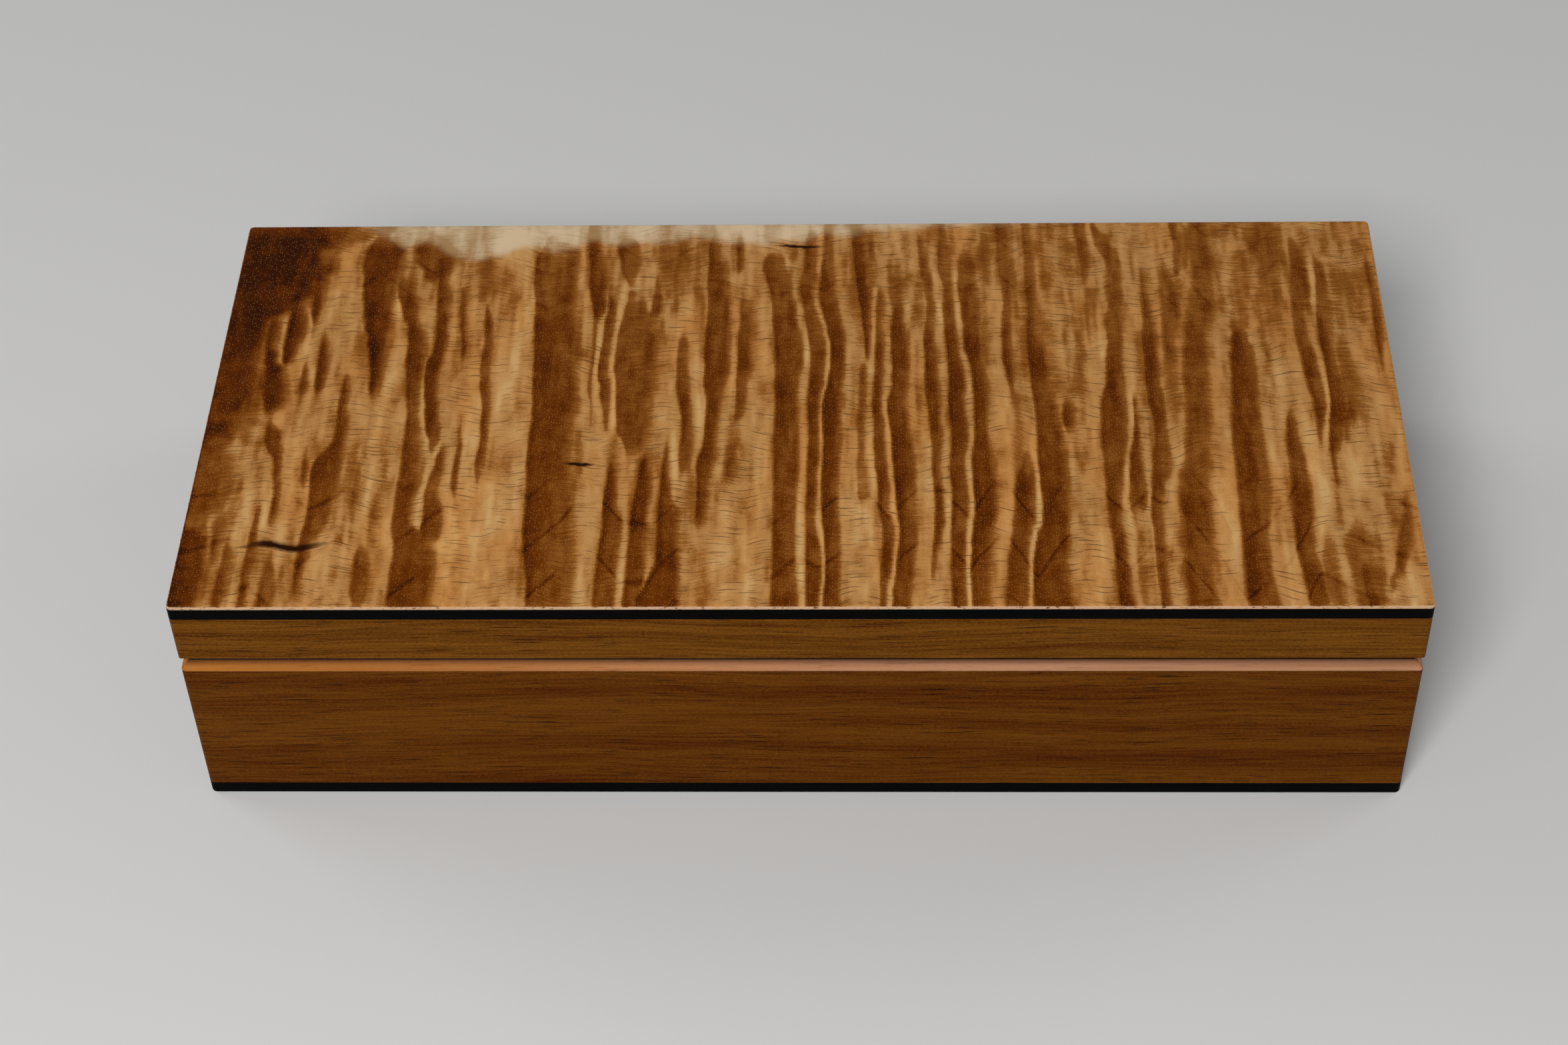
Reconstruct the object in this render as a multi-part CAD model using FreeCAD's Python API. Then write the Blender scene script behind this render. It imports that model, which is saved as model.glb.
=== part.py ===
import FreeCAD, Part
import math
import os

# Keepsake box with a hinged lid. Four mitred walls stand on a black bottom plate. The lid is four
# mitred rails under a black core that carries a figured veneer. A V-groove runs right round the box
# at the joint between the two, and two brass hinges lie at the bottom of that groove at the back.
# Frame: +X to the right, +Y to the back, +Z up, origin at the centre of the underside. Millimetres.

# Overall sizes
box_width = 280.0
box_depth = 130.0
wall_thick = 10.0

# Heights, from the underside up
plate_thick = 4.0
base_wall_high = 42.0
lid_rail_high = 15.2
core_thick = 3.2
veneer_thick = 0.8

# Edges
rim_bevel = 2.2        # 45 degree bevel on the base's rim and on the lid's, which make the V-groove
corner_round = 1.2     # eased upright corners
top_round = 0.6        # round-over along the veneer's edge
plate_round = 0.9      # eased lower edge of the bottom plate

# Mitre splines
spline_thick = 2.0
spline_wide = 7.0
spline_place = 0.42    # how far along the mitre from the inner corner, as a share of the mitre
spline_stop = 5.0      # the blind end's distance from the joint line
glue_gap = 0.05

# Floor pad
pad_thick = 2.0
pad_gap = 0.3
pad_round = 0.7

# Hinges
hinge_long = 32.0
hinge_from_end = 50.0  # from the box's end to the hinge's middle
leaf_thick = 1.2
leaf_sink = 0.1        # how far a leaf lies below its rim
leaf_margin = 1.2      # wood left between a leaf and the inside of the box
leaf_corner = 0.6
knuckle_radius = 1.6
knuckle_count = 5
knuckle_gap = 0.15     # between neighbouring knuckles, end to end and round the barrel
pin_radius = 0.75
pin_play = 0.03
barrel_room = 0.25     # between the barrel and the wood
mortise_gap = 0.1
bevels_meet_deg = 96.0 # opening at which the two back bevels meet and stop the lid

# Screws
screws_per_leaf = 3
screw_from_end = 5.0   # from the leaf's end to the middle of its outer screw
screw_radius = 1.1
screw_long = 9.0
screw_tip = 1.6
head_radius = 1.9
slot_wide = 0.5
slot_deep = 0.4
screw_play = 0.03

# Places worked out from the sizes above
half_width = box_width / 2
half_depth = box_depth / 2
inner_x = half_width - wall_thick
inner_y = half_depth - wall_thick
joint_z = plate_thick + base_wall_high
core_z = joint_z + lid_rail_high
veneer_z = core_z + core_thick
top_z = veneer_z + veneer_thick
pin_out = rim_bevel * (1 - 1 / math.tan(math.radians(bevels_meet_deg / 2)))
pin_y = half_depth - rim_bevel + pin_out
leaf_y = inner_y + leaf_margin
screw_y = (leaf_y + pin_y - knuckle_radius) / 2
mortise_deep = leaf_sink + leaf_thick
hinge_x = {"left": hinge_from_end - half_width, "right": half_width - hinge_from_end}
corners = {"front_left": (-1, -1), "front_right": (1, -1), "back_left": (-1, 1), "back_right": (1, 1)}

X_AXIS = FreeCAD.Vector(1, 0, 0)
Z_AXIS = FreeCAD.Vector(0, 0, 1)


def block(x0, x1, y0, y1, z0, z1):
    """Box between two corners."""
    return Part.makeBox(x1 - x0, y1 - y0, z1 - z0, FreeCAD.Vector(x0, y0, z0))


def prism(points, rise):
    """Solid swept by the outline through points along the vector rise."""
    wire = Part.makePolygon([FreeCAD.Vector(*p) for p in points + points[:1]])
    return Part.Face(wire).extrude(FreeCAD.Vector(*rise))


def upright_edges(shape):
    """Edges of shape that run straight up."""
    return [e for e in shape.Edges if e.BoundBox.XLength + e.BoundBox.YLength < 1e-6]


def level_edges(shape, z):
    """Edges of shape that lie at height z."""
    return [e for e in shape.Edges if abs(e.BoundBox.ZMin - z) + abs(e.BoundBox.ZMax - z) < 1e-4]


def outer_block(z0, z1):
    """The box's whole outline between two heights, with eased upright corners."""
    solid = block(-half_width, half_width, -half_depth, half_depth, z0, z1)
    return solid.makeFillet(corner_round, upright_edges(solid))


def rim_cutters(rise):
    """Four prisms that bevel the outside of a rim at the joint line: rise is -1 below it, 1 above."""
    far = joint_z + rise * rim_bevel
    cutters = []
    for side in (-1, 1):
        y_out, y_in = side * half_depth, side * (half_depth - rim_bevel)
        x_out, x_in = side * half_width, side * (half_width - rim_bevel)
        front = [(-half_width, y_out, far), (-half_width, y_out, joint_z), (-half_width, y_in, joint_z)]
        end = [(x_out, -half_depth, far), (x_out, -half_depth, joint_z), (x_in, -half_depth, joint_z)]
        cutters.append(prism(front, (box_width, 0, 0)))
        cutters.append(prism(end, (0, box_depth, 0)))
    return cutters


def side_wedges(z0, z1):
    """The region of each side between the two mitres at its ends."""
    flat = half_width - half_depth
    rise = (0, 0, z1 - z0)
    wedges = {}
    for name, y in (("front", -half_depth), ("back", half_depth)):
        outline = [(-half_width, y, z0), (half_width, y, z0), (flat, 0, z0), (-flat, 0, z0)]
        wedges[name] = prism(outline, rise)
    for name, side in (("left", -1), ("right", 1)):
        x = side * half_width
        wedges[name] = prism([(x, -half_depth, z0), (x, half_depth, z0), (side * flat, 0, z0)], rise)
    return wedges


def spline(corner, z0, z1, gap):
    """Flat strip set square across the mitre at a corner, with gap added all round its outline."""
    sx, sy = corner
    mid_x = sx * (inner_x + spline_place * wall_thick)
    mid_y = sy * (inner_y + spline_place * wall_thick)
    across = spline_wide / 2 + gap
    along = spline_thick / 2 + gap
    points = []
    for a, b in ((-1, -1), (1, -1), (1, 1), (-1, 1)):
        x = mid_x + (a * across * sx + b * along * sx) / math.sqrt(2)
        y = mid_y + (-a * across * sy + b * along * sy) / math.sqrt(2)
        points.append((x, y, z0))
    return prism(points, (0, 0, z1 - z0))


def screw(x, y, face_z, point):
    """Slotted countersunk screw, its head level with face_z; point is -1 if it points down, 1 up."""
    head_deep = head_radius - screw_radius
    outline = [(0, 0), (head_radius, 0), (screw_radius, head_deep), (screw_radius, screw_long - screw_tip),
               (0, screw_long)]
    turned = [FreeCAD.Vector(x + r, y, face_z + point * d) for r, d in outline]
    face = Part.Face(Part.makePolygon(turned + turned[:1]))
    body = face.revolve(FreeCAD.Vector(x, y, face_z), Z_AXIS, 360)
    low, high = sorted((face_z, face_z + point * slot_deep))
    half_slot = slot_wide / 2
    return body.cut(block(x - head_radius, x + head_radius, y - half_slot, y + half_slot, low, high))


def screw_hole(x, y, face_z, point):
    """The space a screw needs: countersink, hole and a little room at the tip."""
    wide = head_radius + screw_play
    narrow = screw_radius + screw_play
    start = FreeCAD.Vector(x, y, face_z)
    way = FreeCAD.Vector(0, 0, point)
    sink = Part.makeCone(wide, narrow, wide - narrow, start, way)
    return sink.fuse(Part.makeCylinder(narrow, screw_long + screw_play, start, way))


def screw_places(x):
    """Where the screws of the hinge at x stand along the box."""
    first = x - hinge_long / 2 + screw_from_end
    step = (hinge_long - 2 * screw_from_end) / (screws_per_leaf - 1)
    return [first + i * step for i in range(screws_per_leaf)]


def barrel(x0, x1, radius):
    """Cylinder about the pin line from x0 to x1."""
    return Part.makeCylinder(radius, x1 - x0, FreeCAD.Vector(x0, pin_y, joint_z), X_AXIS)


def knuckle_spans(x):
    """The stretches of the hinge at x that its knuckles fill, from left to right."""
    pitch = hinge_long / knuckle_count
    start = x - hinge_long / 2
    return [(start + i * pitch, start + (i + 1) * pitch) for i in range(knuckle_count)]


def hinge_leaf(x, point):
    """One leaf with its knuckles; point is -1 for the leaf on the base, 1 for the one in the lid."""
    low, high = sorted((joint_z + point * leaf_sink, joint_z + point * mortise_deep))
    plate = block(x - hinge_long / 2, x + hinge_long / 2, leaf_y, pin_y, low, high)
    inner = [e for e in upright_edges(plate) if e.BoundBox.YMax < leaf_y + 1e-6]
    plate = plate.makeFillet(leaf_corner, inner)
    spans = knuckle_spans(x)
    own = spans[0::2] if point < 0 else spans[1::2]
    others = spans[1::2] if point < 0 else spans[0::2]
    leaf = plate.cut(barrel(x - hinge_long / 2, x + hinge_long / 2, knuckle_radius))
    for x0, x1 in own:
        stub = block(x0, x1, pin_y - knuckle_radius, pin_y, low, high)
        leaf = leaf.fuse([barrel(x0, x1, knuckle_radius), stub])
    for x0, x1 in others:
        left, right = x0 - knuckle_gap / 2, x1 + knuckle_gap / 2
        leaf = leaf.cut(barrel(left, right, knuckle_radius + knuckle_gap))
    leaf = leaf.cut(barrel(x - hinge_long / 2, x + hinge_long / 2, pin_radius + pin_play))
    for sx in screw_places(x):
        leaf = leaf.cut(screw_hole(sx, screw_y, joint_z + point * leaf_sink, point))
    return leaf.removeSplitter()


def hinge_recess(x, point):
    """What is cut from a back board for the hinge at x: mortise, barrel room and screw holes."""
    low, high = sorted((joint_z, joint_z + point * mortise_deep))
    ends = (x - hinge_long / 2 - mortise_gap, x + hinge_long / 2 + mortise_gap)
    mortise = block(*ends, leaf_y - mortise_gap, pin_y, low, high)
    room = barrel(*ends, knuckle_radius + barrel_room)
    holes = [screw_hole(sx, screw_y, joint_z + point * leaf_sink, point) for sx in screw_places(x)]
    return [mortise, room] + holes


def mitred_frame(z0, z1, point):
    """The four boards of the base (point -1) or of the lid (point 1), by side."""
    ring = outer_block(z0, z1).cut(block(-inner_x, inner_x, -inner_y, inner_y, z0, z1))
    ring = ring.cut(rim_cutters(point))
    low, high = spline_span(z0, z1, point)
    ring = ring.cut([spline(c, low, high, glue_gap) for c in corners.values()])
    boards = {side: ring.common(wedge) for side, wedge in side_wedges(z0, z1).items()}
    for x in hinge_x.values():
        boards["back"] = boards["back"].cut(hinge_recess(x, point))
    return boards


def spline_span(z0, z1, point):
    """Heights between which a corner's spline lies: it stops short of the joint line."""
    return (z0, z1 - spline_stop) if point < 0 else (z0 + spline_stop, z1)


def bottom_plate():
    """Black plate under the walls, its lower edge eased."""
    solid = outer_block(0, plate_thick)
    return solid.makeFillet(plate_round, level_edges(solid, 0))


def top_veneer():
    """Figured veneer over the core, its upper edge rounded over."""
    solid = outer_block(veneer_z, top_z)
    return solid.makeFillet(top_round, level_edges(solid, top_z))


def backing_veneer():
    """Veneer on the underside of the core, between the rails, as thick as the one on top."""
    x, y = inner_x - glue_gap, inner_y - glue_gap
    return block(-x, x, -y, y, core_z - veneer_thick, core_z)


def floor_pad():
    """Covered pad that lies on the bottom plate between the walls."""
    x, y = inner_x - pad_gap, inner_y - pad_gap
    high = plate_thick + pad_thick
    solid = block(-x, x, -y, y, plate_thick, high)
    solid = solid.makeFillet(corner_round, upright_edges(solid))
    return solid.makeFillet(pad_round, level_edges(solid, high))


def build():
    """Every piece of the box by name."""
    pieces = {"bottom_plate": bottom_plate(), "floor_pad": floor_pad()}
    pieces["lid_core"] = outer_block(core_z, veneer_z)
    pieces["top_veneer"] = top_veneer()
    pieces["backing_veneer"] = backing_veneer()
    frames = (("base", "wall", plate_thick, joint_z, -1), ("lid", "rail", joint_z, core_z, 1))
    for body, board, z0, z1, point in frames:
        for side, solid in mitred_frame(z0, z1, point).items():
            pieces["%s_%s_%s" % (body, side, board)] = solid
        low, high = spline_span(z0, z1, point)
        for corner, signs in corners.items():
            pieces["%s_%s_spline" % (body, corner)] = spline(signs, low + glue_gap, high - glue_gap, 0)
        for hand, x in hinge_x.items():
            pieces["%s_hinge_%s_leaf" % (hand, body)] = hinge_leaf(x, point)
            for i, sx in enumerate(screw_places(x), start=1):
                name = "%s_hinge_%s_screw_%d" % (hand, body, i)
                pieces[name] = screw(sx, screw_y, joint_z + point * leaf_sink, point)
    for hand, x in hinge_x.items():
        pieces["%s_hinge_pin" % hand] = barrel(x - hinge_long / 2, x + hinge_long / 2, pin_radius)
    return pieces


os.makedirs("parts", exist_ok=True)
for name, shape in sorted(build().items()):
    shape.exportStep("parts/%s.step" % name)
    print(name, "solids", len(shape.Solids), "valid", shape.isValid(), "volume %.2f" % shape.Volume)
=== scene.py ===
"""Keepsake box with a hinged lid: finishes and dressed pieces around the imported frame."""

import math

import bmesh
import bpy
import numpy as np
from bpy.props import FloatProperty, FloatVectorProperty, IntProperty, PointerProperty
from mathutils import Matrix, Vector


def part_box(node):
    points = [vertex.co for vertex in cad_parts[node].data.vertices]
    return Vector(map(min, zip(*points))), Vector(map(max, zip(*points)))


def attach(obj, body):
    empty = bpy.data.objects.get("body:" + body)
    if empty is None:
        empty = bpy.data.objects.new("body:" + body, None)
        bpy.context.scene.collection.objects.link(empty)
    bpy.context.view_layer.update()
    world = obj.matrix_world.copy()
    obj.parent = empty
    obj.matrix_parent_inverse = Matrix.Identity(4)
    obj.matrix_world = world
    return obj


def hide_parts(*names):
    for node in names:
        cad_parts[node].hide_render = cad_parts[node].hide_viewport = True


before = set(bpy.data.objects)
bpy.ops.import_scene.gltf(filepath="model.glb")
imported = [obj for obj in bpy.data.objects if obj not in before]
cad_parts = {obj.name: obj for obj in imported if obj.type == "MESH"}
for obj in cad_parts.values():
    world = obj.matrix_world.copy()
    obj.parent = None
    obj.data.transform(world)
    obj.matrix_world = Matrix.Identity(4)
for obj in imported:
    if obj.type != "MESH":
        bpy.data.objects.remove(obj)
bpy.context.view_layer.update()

bl_info = {
    "name": "Keepsake Box",
    "version": (1, 0, 0),
    "blender": (4, 5, 0),
    "location": "View3D > Sidebar > Keepsake Box",
    "description": "Finishes and dressed pieces of a keepsake box with a figured lid",
    "category": "Object",
}

MM = 0.001

# Places nearer to each other than this, in metres, are the same place.
SAME_PLACE = 1e-7

# Width of the bevel round the rim of the base, in millimetres.
RIM_BEVEL = 2.2

# Roughness and specular level of the finishes.
BOARD_POLISH, BOARD_SHINE = 0.36, 0.02
VENEER_POLISH, VENEER_SHINE = 0.32, 0.03
LACQUER_POLISH = 0.42

# Height of the streaks in the straight grain of each kind of board, in millimetres.
WALL_STREAK, RAIL_STREAK, BACKING_STREAK, SPLINE_STREAK = 6.5, 4.5, 9.0, 5.0

PAD_CELLS_WIDE, PAD_CELLS_DEEP = 130, 55

# Room under the box and the distances over which the floor turns to backdrop, in metres.
FLOOR_GAP = 0.02 * MM
FLOOR_FADES_FROM, FLOOR_FADES_TO = 0.3, 1.1
EVEN_LIGHT = 0.18
SIDES = ("front", "back", "left", "right")
CORNERS = ("front_left", "front_right", "back_left", "back_right")

# Dark streaks of the curly figure, read off the lid, in millimetres from its middle.
# Each is (depth, softness of its left edge, softness of its right edge, places), and a place is
# (how far back, left edge, right edge). A depth of 1 is a dark hollow, and one above 1 is darker still.
DARK_STREAKS = (
    (1.25, 2.0, 2.5, ((36, -131, -125.5), (28, -130, -126.6), (20, -130, -126.8), (12, -128.8, -124),
     (2, -127.8, -121.8), (-5, -126.5, -123.5))),
    (1.25, 1.2, 1.5, ((36, -125.5, -121.5), (26, -125, -120.8), (19, -125, -121.8), (13, -124.6, -123.6))),
    (1.1, 0.8, 0.8, ((43, -120, -118.4), (34, -120, -118), (26, -119.4, -118.2))),
    (1.1, 0.8, 1.0, ((24, -116.6, -115), (15, -116.2, -113.6), (8, -116, -113.5), (2, -115.3, -114.2))),
    (1.0, 0.8, 0.8, ((14, -119.4, -118.2), (8, -119.5, -117.5), (1, -119, -118))),
    (1.2, 1.0, 2.0, ((59, -109.5, -100.5), (50, -109.5, -99.7), (40, -108.2, -99.8), (30, -107, -99.8),
     (20, -104.8, -99.8), (10, -103.3, -100), (0, -102.4, -100.6))),
    (1.05, 2.0, 2.0, ((60, -98, -88), (54, -96.5, -86), (48, -94.5, -86.5), (43, -92.5, -87))),
    (1.0, 0.8, 1.6, ((47, -100.2, -97.8), (40, -99.5, -96.3), (30, -97, -93.5), (20, -95.2, -90.6),
     (10, -94.3, -90.1), (0, -93.2, -89.8), (-10, -92.7, -88.4), (-25, -92.4, -87.4), (-40, -92.3, -87),
     (-46, -91.5, -82.5), (-52, -91.2, -80.5), (-67, -90.8, -80.3))),
    (1.0, 0.8, 0.8, ((52, -90.5, -86.4), (40, -89.8, -87), (30, -89, -86.4), (20, -88.8, -85.8),
     (12, -90, -86.5), (0, -88.8, -86), (-8, -87.8, -84.5), (-15, -86.3, -84))),
    (1.0, 0.7, 0.7, ((-13, -83.8, -82.6), (-22, -84.6, -82), (-30, -85.8, -82.5), (-38, -85.5, -80.8),
     (-46, -86, -80.5))),
    (0.8, 0.5, 0.6, ((42, -83.9, -82.8), (30, -83.4, -82), (20, -82.2, -81), (12, -81.8, -81.2))),
    (0.9, 0.5, 0.7, ((37, -77.6, -76.9), (22, -77, -75), (10, -76.7, -74.6), (0, -75.3, -73),
     (-10, -74.8, -72.9), (-20, -75.3, -73), (-27, -74.5, -73.6))),
    (0.8, 0.5, 0.6, ((-5, -79.9, -79.2), (-18, -80, -78.7), (-28, -80, -78.5), (-32, -79, -78.2))),
    (0.93, 0.5, 2.2, ((58, -67, -56), (50, -66.8, -56), (40, -66.1, -55.4), (30, -65.4, -54.5),
     (20, -64.6, -54), (10, -63.9, -53.5), (0, -63.4, -52.9), (-15, -63.3, -52.3), (-30, -62.6, -51.2),
     (-45, -61.8, -50.6), (-60, -60.2, -50), (-67, -59.9, -50))),
    (1.0, 0.5, 0.8, ((67, -54.2, -51), (50, -53, -49.8), (40, -52.5, -48.4), (32, -51, -48.3),
     (26, -50.7, -49.5))),
    (0.8, 0.4, 0.4, ((29, -50.7, -49.8), (10, -50.4, -49.6), (-8, -49.8, -49.2))),
    (1.0, 0.8, 1.0, ((61, -46.5, -41), (54, -46.3, -40.2), (48, -45, -40.5), (42, -43.6, -41.4))),
    (0.95, 0.5, 0.5, ((40, -48.2, -46.6), (30, -47.7, -45.3), (20, -48.2, -45.8), (10, -48.4, -45.6),
     (0, -47, -45), (-10, -45.7, -44.9))),
    (0.85, 0.5, 3.0, ((40, -43.3, -41), (34, -43.5, -37), (28, -43.9, -34.7), (20, -44.6, -34.2),
     (10, -44.3, -33.9), (0, -43.6, -33.9), (-7, -42.9, -34.6), (-13, -41.8, -36.5), (-17, -40.6, -38.8))),
    (0.95, 0.6, 0.5, ((46, -36.8, -35.2), (36, -37, -34.8), (26, -38, -35))),
    (0.6, 0.8, 0.8, ((52, -32.2, -31), (40, -32, -30), (31, -31.4, -30.4))),
    (0.9, 0.7, 0.8, ((24, -30, -27), (12, -29.8, -26.8), (2, -29.2, -26.2), (-8, -27.6, -25),
     (-16, -28.2, -25.4), (-26, -27.6, -26.6))),
    (1.0, 0.4, 1.0, ((61, -23.6, -20.5), (50, -23.5, -20.2), (40, -23.3, -18.8), (30, -23.2, -17.8),
     (20, -23.6, -17.8), (10, -23.2, -17.5), (0, -22.5, -18.8), (-12, -22.5, -19.4), (-22, -23.7, -20),
     (-32, -23.4, -20.4), (-41, -23.8, -21.6))),
    (1.0, 0.7, 0.8, ((-12, -30.8, -30.4), (-20, -31.5, -29.9), (-30, -32, -29.2), (-36, -32, -27.2),
     (-46, -32.1, -26.9), (-55, -32.2, -26.5), (-60, -34.5, -26), (-67, -35.8, -25.8))),
    (1.0, 0.7, 0.7, ((-15, -36, -35.4), (-24, -37, -34.2), (-35, -38, -34.6), (-45, -38.1, -34.8),
     (-55, -38.2, -34), (-67, -38.6, -34.2))),
    (1.0, 0.5, 0.8, ((-20, -43.8, -43.2), (-30, -44.5, -41.3), (-40, -44.5, -40), (-55, -45, -40),
     (-67, -45, -40.2))),
    (0.9, 0.5, 0.7, ((61, -17, -14.9), (52, -16.9, -14.8), (45, -16.5, -15.5))),
    (0.9, 0.5, 0.8, ((36, -15.3, -13.8), (24, -15.5, -12.5), (10, -15.5, -12.5), (0, -15.5, -13),
     (-9, -16, -14))),
    (0.5, 1.5, 1.5, ((-6, -16.5, -13.6), (-16, -17, -14), (-27, -18, -15))),
    (1.0, 0.7, 0.5, ((53, -10.2, -4.6), (46, -10, -3.7), (38, -8.2, -3.3), (30, -7.4, -1.8),
     (22, -6.7, -0.3), (10, -6.5, -0.5), (0, -6.4, -0.9), (-14, -6.2, -0.3), (-30, -6, -0.5),
     (-44, -5.8, -0.3), (-55, -5.4, 0.1), (-67, -6, 0.1))),
    (1.0, 0.5, 0.4, ((61, 0.4, 3.3), (50, 0, 3.4), (42, -0.8, 2.8), (36, -0.4, 2.7), (28, 0.6, 4.6),
     (20, 1.7, 5.6), (10, 1.7, 5.3), (0, 1.6, 4.3), (-20, 1.6, 4.6), (-36, 1.7, 4), (-50, 1.9, 5.4),
     (-67, 2.1, 5))),
    (1.0, 0.4, 0.7, ((62, 5.1, 7.2), (50, 4.8, 7.7), (40, 3.8, 7.8), (30, 5, 9.1), (20, 6.6, 9.9),
     (10, 6.3, 9.7), (0, 5.1, 9.3), (-15, 5.3, 9.6), (-30, 5.1, 9.2), (-44, 6, 9.9), (-55, 6.2, 9.9),
     (-67, 5.6, 9.7))),
    (1.35, 0.5, 0.8, ((63, 11.4, 14.5), (50, 12.1, 15.1), (40, 12.8, 15.8), (30, 13.9, 16.1),
     (20, 14.9, 16.1), (13, 14.9, 15.6))),
    (0.6, 0.6, 0.8, ((14, 14.4, 15.6), (0, 13.5, 15.2), (-15, 13.4, 15.3), (-30, 13.4, 16.2),
     (-36, 13.9, 15.4))),
    (0.95, 0.5, 0.5, ((40, 17.8, 19), (25, 17.6, 19.4), (10, 17.4, 19.4), (0, 17, 18.9), (-12, 17.1, 20),
     (-26, 17.6, 20.4), (-40, 19.1, 21.7), (-50, 18.8, 21.5), (-60, 18.5, 20.2), (-67, 18.5, 19.8))),
    (0.5, 1.0, 1.2, ((55, 20.8, 22), (46, 20.8, 25), (36, 21, 25.5), (28, 21.3, 25))),
    (1.0, 0.4, 0.7, ((36, 22, 24), (24, 21.3, 25), (10, 21.5, 25.1), (0, 20.4, 24.9), (-12, 20.9, 26),
     (-28, 22, 26.8), (-42, 22.8, 26.8), (-54, 22.2, 26.4), (-67, 21.1, 25.5))),
    (0.9, 0.5, 0.5, ((61, 27.9, 28.6), (46, 28.6, 30.6), (36, 29.8, 32), (20, 29.3, 32.2), (5, 29.3, 32.1),
     (-8, 30.1, 32.4), (-25, 30.7, 32.5), (-38, 31, 32.9), (-49, 30.2, 31.6), (-58, 29.8, 31))),
    (1.0, 0.5, 0.5, ((63, 33.2, 34.9), (48, 32.8, 36.3), (38, 34.1, 36.7), (30, 33.7, 36.7),
     (18, 34.5, 37.4), (6, 34.8, 38.4), (-6, 34.8, 38.9), (-22, 34.6, 38.3), (-32, 35, 39), (-44, 34.4, 38),
     (-55, 34.2, 37.6), (-67, 34.4, 37.6))),
    (1.0, 0.5, 0.9, ((54, 37.9, 41), (40, 37.6, 42.7), (28, 38.5, 43), (16, 39.5, 43.1), (4, 40.8, 44.1),
     (-8, 40.4, 43.6), (-22, 39.9, 44.4), (-32, 39.9, 45.3), (-42, 39.4, 43.8), (-52, 38.6, 43),
     (-67, 38.6, 43))),
    (0.95, 0.6, 0.5, ((64, 47.3, 49.9), (46, 47.6, 50.3), (34, 48.2, 50.3), (20, 47.7, 50.1), (10, 48.4, 50),
     (3, 49.4, 49.9))),
    (1.0, 0.5, 1.0, ((64, 53.8, 56.1), (48, 54, 56.4), (36, 54.2, 56.4), (28, 54.1, 56.4), (18, 53.9, 57.7),
     (8, 54.3, 58.6), (-2, 54.9, 60), (-14, 54.6, 60.4), (-26, 55.2, 62), (-40, 54.9, 61.5),
     (-48, 53.2, 60.9), (-67, 52.4, 61.1))),
    (0.9, 1.0, 0.4, ((-15, 52, 53.2), (-22, 50.4, 54), (-30, 49.4, 54.1), (-38, 48.7, 53.6),
     (-50, 47.2, 52.1), (-67, 46, 51.2))),
    (0.4, 1.0, 1.0, ((48, 62, 64), (34, 62.3, 64.2), (16, 62.3, 64), (6, 62.6, 63.8))),
    (0.85, 1.2, 1.2, ((1, 61.4, 63.6), (-4, 61, 64), (-10, 61.6, 63))),
    (0.9, 0.8, 0.5, ((63, 67.2, 69.9), (50, 67.5, 69.9), (41, 68.2, 69.6))),
    (0.5, 0.8, 0.6, ((43, 68, 69.8), (30, 67.8, 69.6), (20, 68.2, 69.6))),
    (0.95, 0.8, 0.6, ((62, 71, 71.8), (55, 72.5, 76.8), (48, 73.9, 77.6), (38, 73.8, 77.3), (30, 73.2, 76.6),
     (18, 72.8, 76.3), (8, 71.6, 76.3), (-2, 70.1, 76.5), (-14, 70.1, 75.8), (-26, 69.9, 74),
     (-40, 70.3, 73.2), (-50, 70.9, 73.9), (-67, 71.5, 74.6))),
    (0.9, 0.4, 0.6, ((3, 77.8, 78.3), (-10, 77.4, 78.9), (-20, 76.1, 78.6), (-28, 75.2, 79),
     (-36, 75, 79.6))),
    (0.4, 1.2, 1.5, ((-32, 75.4, 79.4), (-45, 75.8, 79.6), (-67, 76, 80))),
    (0.9, 0.6, 0.7, ((46, 82.2, 83.4), (30, 81.9, 84.1), (15, 81.2, 84.4), (2, 81.3, 85.2), (-8, 82.2, 85.5),
     (-20, 81.3, 85.7), (-30, 80.2, 83.4), (-44, 80, 82.5), (-67, 80.2, 82.7))),
    (1.0, 0.6, 0.5, ((64, 90.3, 92.6), (56, 90.8, 93), (50, 90.4, 92.6), (43, 90.2, 90.8))),
    (0.9, 2.5, 2.0, ((64, 96.8, 99.2), (50, 95.8, 99.7), (40, 93.8, 99), (28, 92, 98.2), (16, 90.4, 96.4),
     (0, 90, 95.7), (-16, 89.2, 95.7), (-28, 86.6, 94.2), (-45, 86.3, 93.8), (-67, 85.6, 93))),
    (0.6, 1.5, 1.5, ((53, 105, 109), (42, 104, 108), (30, 102.6, 106.4), (20, 102, 107))),
    (1.0, 1.2, 0.8, ((25, 103.4, 106.4), (18, 101.8, 107.5), (10, 101.4, 107.8), (0, 100.7, 107.1),
     (-15, 100, 107.6), (-30, 99.7, 107.1), (-45, 99.4, 106), (-55, 99.3, 105.6), (-67, 99.3, 107))),
    (0.9, 0.6, 0.6, ((20, 110.2, 111), (16, 110, 111.5), (12, 110.4, 111.4))),
    (0.9, 0.8, 0.5, ((60, 119.8, 121), (48, 119, 122.8), (40, 118.2, 123.2), (34, 117.9, 120.9),
     (24, 117.8, 120.9), (12, 118.5, 122.2), (0, 119.6, 122.7), (-10, 120, 121.5), (-19, 120.1, 120.6))),
    (0.9, 1.0, 0.9, ((-3, 113.4, 114.8), (-12, 112.4, 115.6), (-20, 112.5, 116.6), (-32, 111.7, 116.4),
     (-45, 111.4, 115.5), (-56, 112, 116.6), (-67, 113, 117.5))),
    (1.0, 0.4, 0.9, ((55, 124.8, 125.6), (44, 124.9, 127.3), (34, 124, 127.5), (24, 123.3, 127.8),
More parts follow.
